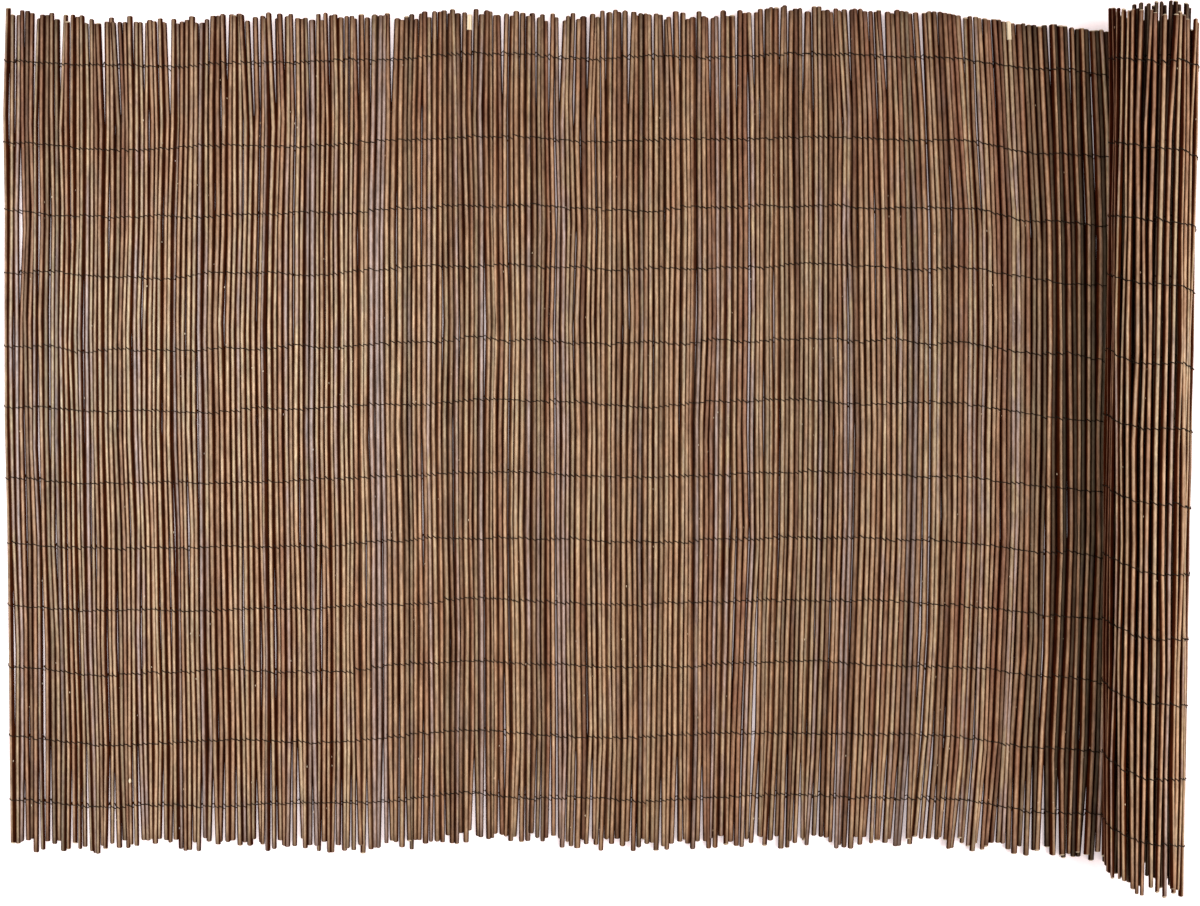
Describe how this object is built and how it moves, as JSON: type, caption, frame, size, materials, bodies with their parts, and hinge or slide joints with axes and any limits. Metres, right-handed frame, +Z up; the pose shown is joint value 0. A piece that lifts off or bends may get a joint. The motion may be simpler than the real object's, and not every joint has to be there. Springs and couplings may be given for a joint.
{
  "type": "willow fence",
  "caption": "Willow screening mat: thin unpeeled rods side by side, bound by rows of twisted wire, laid flat with the rest of its length in a loose roll at one end.",
  "frame": {"origin": "on the ground, under the middle of the whole piece as it lies part unrolled", "axes": "+X along the mat from its free end to the roll, +Y along the rods to their top ends, +Z up"},
  "size_m": [2.1024, 1.5721, 0.1504],
  "materials": {
    "willow": "unpeeled brown bark",
    "wire": "dark, dull"
  },
  "bodies": {
    "root": {"unrolled_mat": "willow", "rolled_mat": "willow", "panel_wire_01": "wire", "panel_wire_02": "wire", "panel_wire_03": "wire", "panel_wire_04": "wire", "panel_wire_05": "wire", "panel_wire_06": "wire", "panel_wire_07": "wire", "panel_wire_08": "wire", "panel_wire_09": "wire", "panel_wire_10": "wire", "panel_wire_11": "wire", "panel_wire_12": "wire", "roll_wire_01": "wire", "roll_wire_02": "wire", "roll_wire_03": "wire", "roll_wire_04": "wire", "roll_wire_05": "wire", "roll_wire_06": "wire", "roll_wire_07": "wire", "roll_wire_08": "wire", "roll_wire_09": "wire", "roll_wire_10": "wire", "roll_wire_11": "wire", "roll_wire_12": "wire"}
  },
  "joints": []
}
